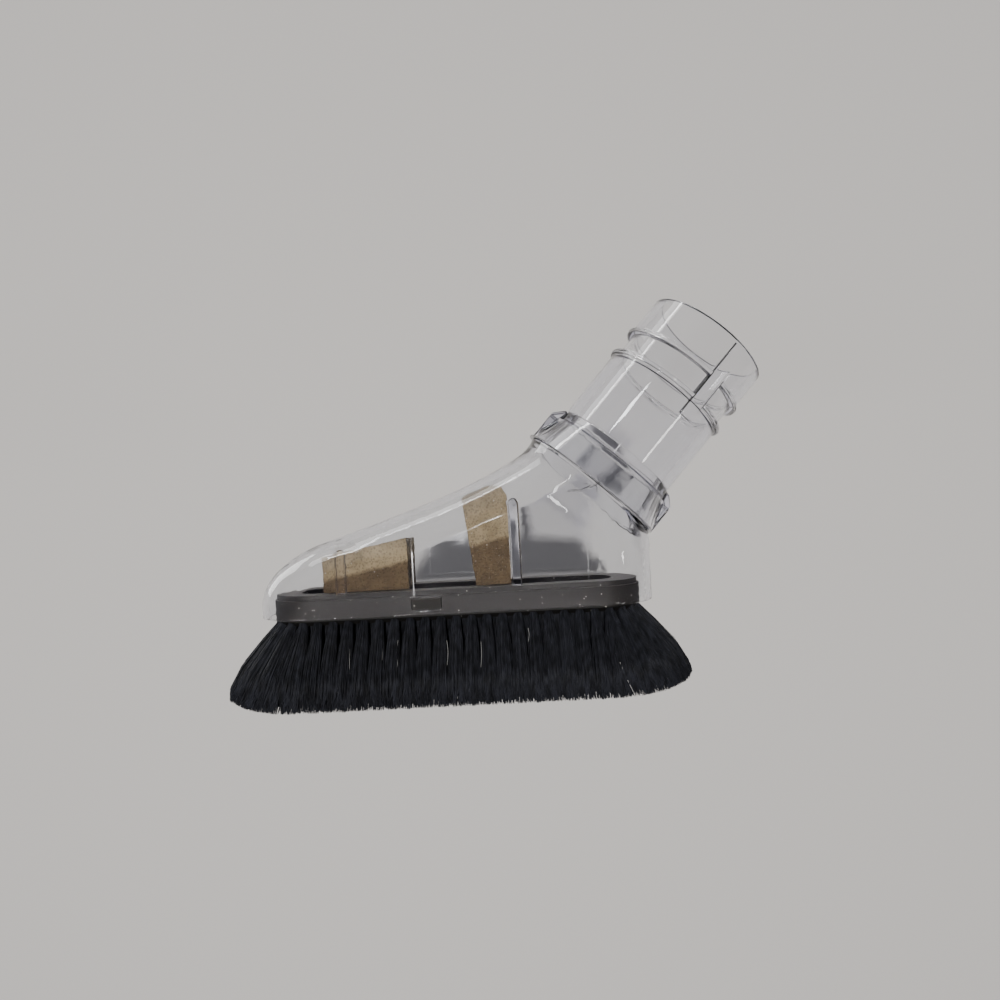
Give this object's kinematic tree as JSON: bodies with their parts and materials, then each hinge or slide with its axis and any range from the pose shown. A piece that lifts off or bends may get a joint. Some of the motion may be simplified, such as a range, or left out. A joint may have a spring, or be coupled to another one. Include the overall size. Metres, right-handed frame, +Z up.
{
  "type": "vacuum dusting brush",
  "caption": "Clear angled dusting brush: a long see-through housing with a round neck tube, a dark ring with a skirt of flared black bristles, and foam blocks inside.",
  "frame": {"origin": "on the surface that the bristle tips stand on, under the middle of the brush's length and width", "axes": "+X from the toe to the neck, +Y across the brush, +Z up from the bristle tips"},
  "size_m": [0.1526, 0.0508, 0.1071],
  "materials": {
    "clear_plastic": "clear, polished",
    "clear_plastic_tube": "clear, polished",
    "dark_plastic": "satin",
    "foam": "open-pored foam",
    "bristle": "nylon filament"
  },
  "bodies": {
    "root": {"housing": "clear_plastic", "neck_tube": "clear_plastic_tube", "brush_ring": "dark_plastic", "foam_block_front": "foam", "foam_block_rear": "foam", "tufts_outer_near": "bristle", "tufts_outer_far": "bristle", "tufts_outer_heel": "bristle", "tufts_outer_toe": "bristle", "tufts_inner_near": "bristle", "tufts_inner_far": "bristle", "tufts_inner_heel": "bristle", "tufts_inner_toe": "bristle"}
  },
  "joints": []
}
